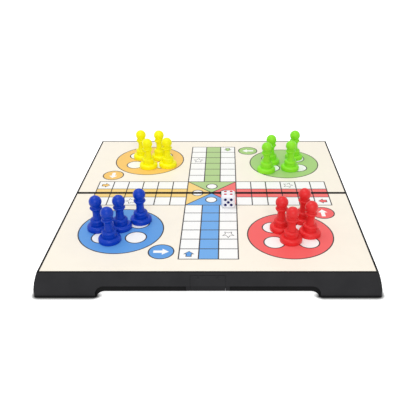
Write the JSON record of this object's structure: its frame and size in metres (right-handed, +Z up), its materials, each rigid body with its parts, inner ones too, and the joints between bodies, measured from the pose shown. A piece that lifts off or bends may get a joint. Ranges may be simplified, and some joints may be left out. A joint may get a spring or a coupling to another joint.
{
  "type": "ludo board",
  "caption": "Folding magnetic ludo board: hinged black half trays with printed steel decks, a latch, coloured magnetic pawns and a die.",
  "frame": {"origin": "on the table, under the centre of the opened board", "axes": "+Z up, +X to the player's right along the seam, +Y away from the player across the seam"},
  "size_m": [0.25, 0.25, 0.0487],
  "materials": {
    "tray": "fine moulded texture, satin",
    "plate": "thin tinplate",
    "print": "printed film, satin",
    "pin": "drawn wire",
    "magnet": "sintered ferrite",
    "die": "polished",
    "blue_pawn": "moulded, satin gloss",
    "red_pawn": "moulded, satin gloss",
    "yellow_pawn": "moulded, satin gloss",
    "green_pawn": "moulded, satin gloss"
  },
  "bodies": {
    "front_half": {"front_tray": "tray", "front_steel_plate": "plate", "front_print_sheet": "print", "front_hinge_pin_left": "pin", "front_hinge_pin_right": "pin", "latch_pin": "pin"},
    "hinge_links": {"hinge_link_left": "tray", "hinge_link_right": "tray"},
    "rear_half": {"rear_tray": "tray", "rear_steel_plate": "plate", "rear_print_sheet": "print", "rear_hinge_pin_left": "pin", "rear_hinge_pin_right": "pin"},
    "latch": {"latch_flap": "tray"},
    "loose_die": {"die": "die"},
    "blue_piece_1": {"blue_pawn_1": "blue_pawn", "blue_magnet_1": "magnet"},
    "blue_piece_2": {"blue_pawn_2": "blue_pawn", "blue_magnet_2": "magnet"},
    "blue_piece_3": {"blue_pawn_3": "blue_pawn", "blue_magnet_3": "magnet"},
    "blue_piece_4": {"blue_pawn_4": "blue_pawn", "blue_magnet_4": "magnet"},
    "red_piece_1": {"red_pawn_1": "red_pawn", "red_magnet_1": "magnet"},
    "red_piece_2": {"red_pawn_2": "red_pawn", "red_magnet_2": "magnet"},
    "red_piece_3": {"red_pawn_3": "red_pawn", "red_magnet_3": "magnet"},
    "red_piece_4": {"red_pawn_4": "red_pawn", "red_magnet_4": "magnet"},
    "yellow_piece_1": {"yellow_pawn_1": "yellow_pawn", "yellow_magnet_1": "magnet"},
    "yellow_piece_2": {"yellow_pawn_2": "yellow_pawn", "yellow_magnet_2": "magnet"},
    "yellow_piece_3": {"yellow_pawn_3": "yellow_pawn", "yellow_magnet_3": "magnet"},
    "yellow_piece_4": {"yellow_pawn_4": "yellow_pawn", "yellow_magnet_4": "magnet"},
    "green_piece_1": {"green_pawn_1": "green_pawn", "green_magnet_1": "magnet"},
    "green_piece_2": {"green_pawn_2": "green_pawn", "green_magnet_2": "magnet"},
    "green_piece_3": {"green_pawn_3": "green_pawn", "green_magnet_3": "magnet"},
    "green_piece_4": {"green_pawn_4": "green_pawn", "green_magnet_4": "magnet"}
  },
  "joints": [
    {"name": "front_fold", "type": "hinge", "parent": "front_half", "child": "hinge_links", "pos_m": [0, -0.0044, 0.0042], "axis": [-1, 0, 0], "range_deg": [0, 90]},
    {"name": "rear_fold", "type": "hinge", "parent": "hinge_links", "child": "rear_half", "pos_m": [0, 0.0044, 0.0042], "axis": [-1, 0, 0], "range_deg": [0, 90]},
    {"name": "latch_swing", "type": "hinge", "parent": "front_half", "child": "latch", "pos_m": [0, -0.12279, 0.0063], "axis": [1, 0, 0], "range_deg": [0, 180]},
    {"name": "die_lift", "type": "slide", "parent": "front_half", "child": "loose_die", "axis": [0, 0, 1], "range_m": [0, 0.06]},
    {"name": "blue_lift_1", "type": "slide", "parent": "front_half", "child": "blue_piece_1", "axis": [0, 0, 1], "range_m": [0, 0.06]},
    {"name": "blue_lift_2", "type": "slide", "parent": "front_half", "child": "blue_piece_2", "axis": [0, 0, 1], "range_m": [0, 0.06]},
    {"name": "blue_lift_3", "type": "slide", "parent": "front_half", "child": "blue_piece_3", "axis": [0, 0, 1], "range_m": [0, 0.06]},
    {"name": "blue_lift_4", "type": "slide", "parent": "front_half", "child": "blue_piece_4", "axis": [0, 0, 1], "range_m": [0, 0.06]},
    {"name": "red_lift_1", "type": "slide", "parent": "front_half", "child": "red_piece_1", "axis": [0, 0, 1], "range_m": [0, 0.06]},
    {"name": "red_lift_2", "type": "slide", "parent": "front_half", "child": "red_piece_2", "axis": [0, 0, 1], "range_m": [0, 0.06]},
    {"name": "red_lift_3", "type": "slide", "parent": "front_half", "child": "red_piece_3", "axis": [0, 0, 1], "range_m": [0, 0.06]},
    {"name": "red_lift_4", "type": "slide", "parent": "front_half", "child": "red_piece_4", "axis": [0, 0, 1], "range_m": [0, 0.06]},
    {"name": "yellow_lift_1", "type": "slide", "parent": "rear_half", "child": "yellow_piece_1", "axis": [0, 0, 1], "range_m": [0, 0.06]},
    {"name": "yellow_lift_2", "type": "slide", "parent": "rear_half", "child": "yellow_piece_2", "axis": [0, 0, 1], "range_m": [0, 0.06]},
    {"name": "yellow_lift_3", "type": "slide", "parent": "rear_half", "child": "yellow_piece_3", "axis": [0, 0, 1], "range_m": [0, 0.06]},
    {"name": "yellow_lift_4", "type": "slide", "parent": "rear_half", "child": "yellow_piece_4", "axis": [0, 0, 1], "range_m": [0, 0.06]},
    {"name": "green_lift_1", "type": "slide", "parent": "rear_half", "child": "green_piece_1", "axis": [0, 0, 1], "range_m": [0, 0.06]},
    {"name": "green_lift_2", "type": "slide", "parent": "rear_half", "child": "green_piece_2", "axis": [0, 0, 1], "range_m": [0, 0.06]},
    {"name": "green_lift_3", "type": "slide", "parent": "rear_half", "child": "green_piece_3", "axis": [0, 0, 1], "range_m": [0, 0.06]},
    {"name": "green_lift_4", "type": "slide", "parent": "rear_half", "child": "green_piece_4", "axis": [0, 0, 1], "range_m": [0, 0.06]}
  ],
  "couplings": [
    {"joint": "rear_fold", "follows": "front_fold", "ratio": 1}
  ]
}
